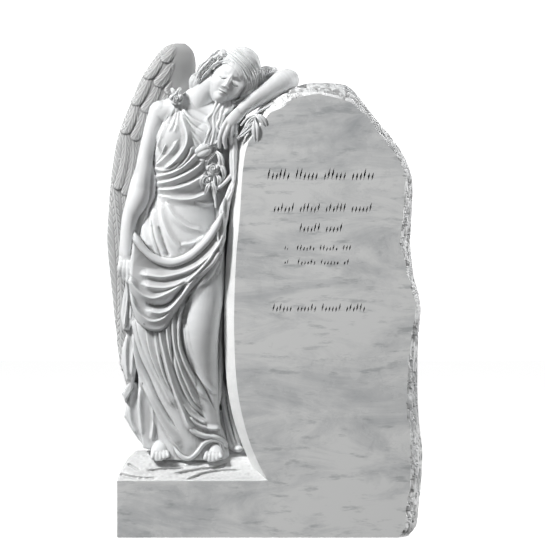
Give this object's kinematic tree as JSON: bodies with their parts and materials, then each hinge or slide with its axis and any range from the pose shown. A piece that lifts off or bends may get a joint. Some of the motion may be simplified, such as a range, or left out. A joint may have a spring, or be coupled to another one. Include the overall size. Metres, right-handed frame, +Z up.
{
  "type": "angel headstone",
  "caption": "Marble headstone carved from one block: a mourning angel leaning on an upright slab with a pitched edge",
  "frame": {"origin": "middle of the base's nominal width and depth, on its flat underside", "axes": "+X to the right seen from the front, +Z up, and the polished face looks along -Y"},
  "size_m": [0.6743, 0.1677, 1.05],
  "materials": {
    "marble": "honed face, fine-rubbed carving, pitched edge"
  },
  "bodies": {
    "root": {"headstone": "marble"}
  },
  "joints": []
}
